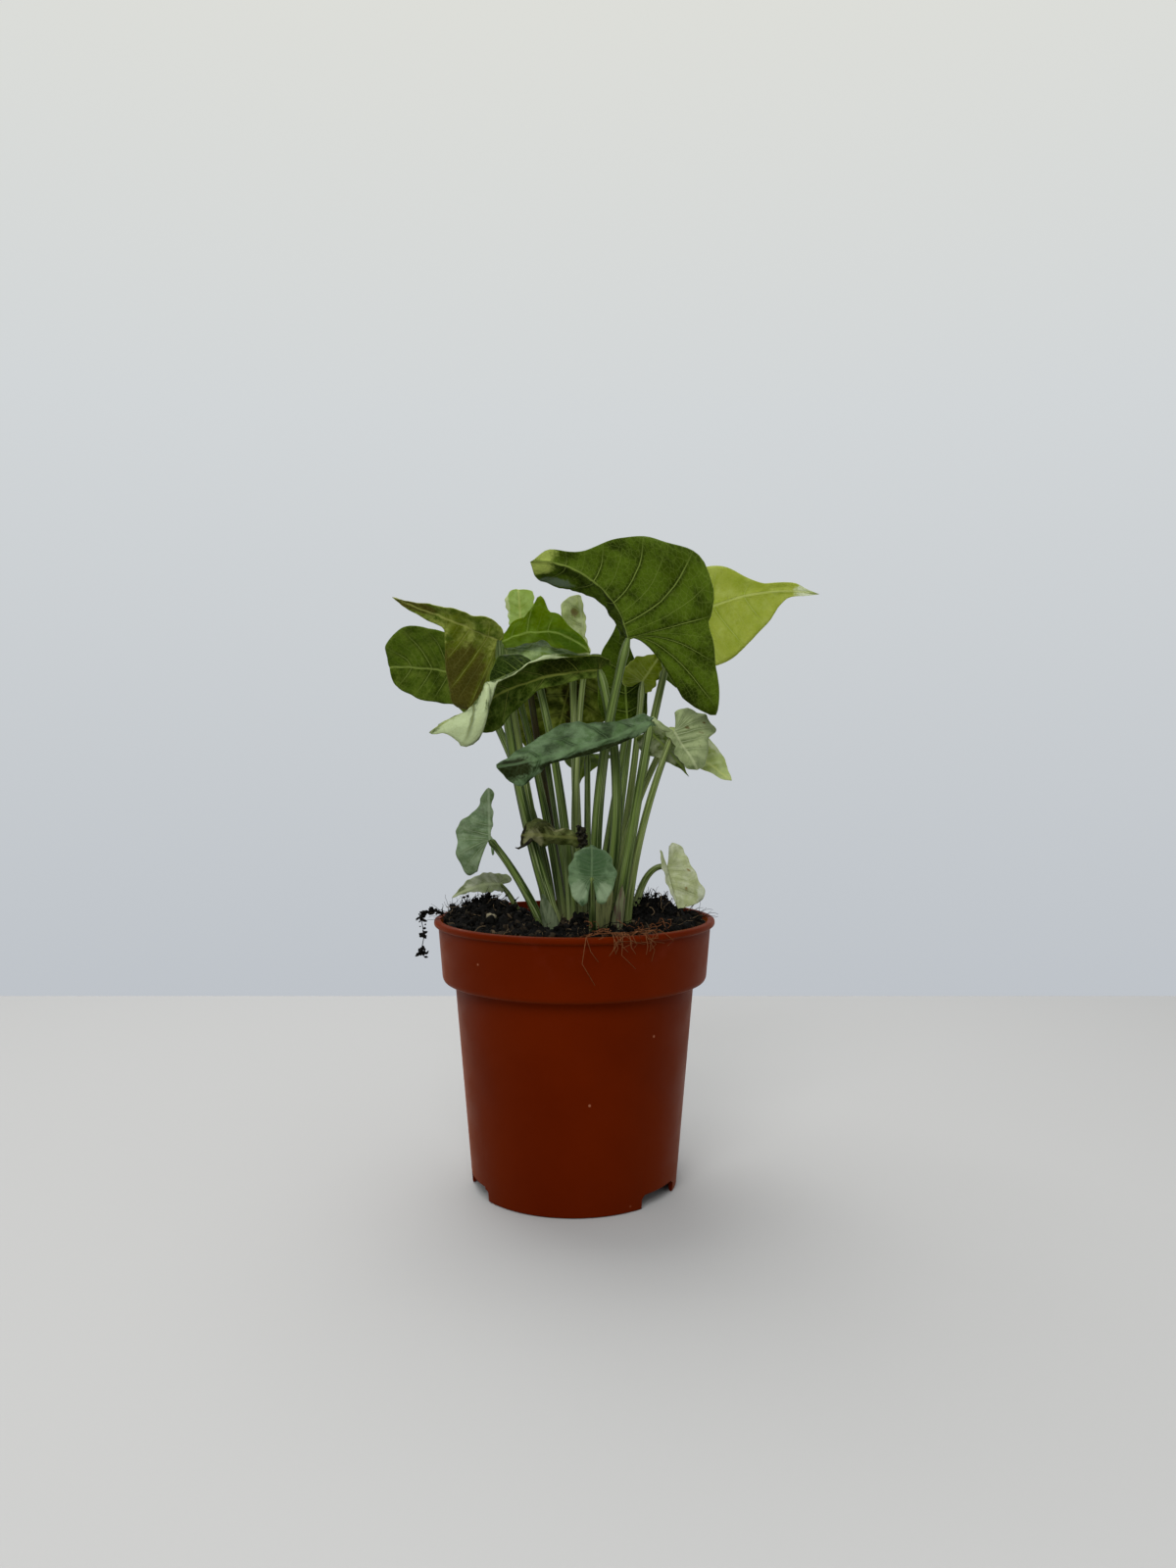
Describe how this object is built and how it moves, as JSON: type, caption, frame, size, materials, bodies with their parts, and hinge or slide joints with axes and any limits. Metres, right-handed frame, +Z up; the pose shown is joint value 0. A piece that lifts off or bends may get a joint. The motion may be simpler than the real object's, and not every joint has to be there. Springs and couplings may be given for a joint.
{
  "type": "potted arrowhead plant",
  "caption": "Arrowhead plant with heart- and arrow-shaped leaf blades on long upright stalks, standing in soil in a round collared grower's pot.",
  "frame": {"origin": "centre of the pot's foot, on the surface it stands on", "axes": "+Z up along the pot's axis, -Y towards the plant's open front side, +X to its right seen from the front"},
  "size_m": [0.1766, 0.1402, 0.2437],
  "materials": {
    "pot": "satin red-brown polypropylene",
    "soil": "loose dark peat and bark",
    "stalk": "smooth fresh green stalk",
    "leaf_deep": "satin deep green leaf",
    "leaf_lit": "satin yellow-green leaf",
    "leaf_bluish": "satin blue-green leaf",
    "leaf_pale": "pale grey-green leaf",
    "leaf_dry": "withered brown leaf"
  },
  "bodies": {
    "root": {"blade_arching": "leaf_deep", "blade_back_left": "leaf_deep", "blade_back_low": "leaf_deep", "blade_back_right": "leaf_deep", "blade_creeping_left": "leaf_pale", "blade_far_left": "leaf_deep", "blade_front": "leaf_bluish", "blade_inner": "leaf_lit", "blade_inner_left": "leaf_deep", "blade_inner_low": "leaf_deep", "blade_inner_right": "leaf_lit", "blade_left": "leaf_deep", "blade_low_front": "leaf_bluish", "blade_low_left": "leaf_bluish", "blade_low_right": "leaf_pale", "blade_middle": "leaf_lit", "blade_mottled": "leaf_pale", "blade_pale_upright": "leaf_pale", "blade_right": "leaf_lit", "blade_right_low": "leaf_lit", "blade_right_narrow": "leaf_deep", "blade_small_upright": "leaf_lit", "blade_top": "leaf_deep", "blade_tucked": "leaf_bluish", "blade_withered": "leaf_dry", "pot": "pot", "soil": "soil", "stalk_arching": "stalk", "stalk_back_left": "stalk", "stalk_back_low": "stalk", "stalk_back_right": "stalk", "stalk_creeping_left": "stalk", "stalk_far_left": "stalk", "stalk_front": "stalk", "stalk_inner": "stalk", "stalk_inner_left": "stalk", "stalk_inner_low": "stalk", "stalk_inner_right": "stalk", "stalk_left": "stalk", "stalk_low_front": "stalk", "stalk_low_left": "stalk", "stalk_low_right": "stalk", "stalk_middle": "stalk", "stalk_mottled": "stalk", "stalk_pale_upright": "stalk", "stalk_right": "stalk", "stalk_right_low": "stalk", "stalk_right_narrow": "stalk", "stalk_small_upright": "stalk", "stalk_top": "stalk", "stalk_tucked": "stalk"}
  },
  "joints": []
}
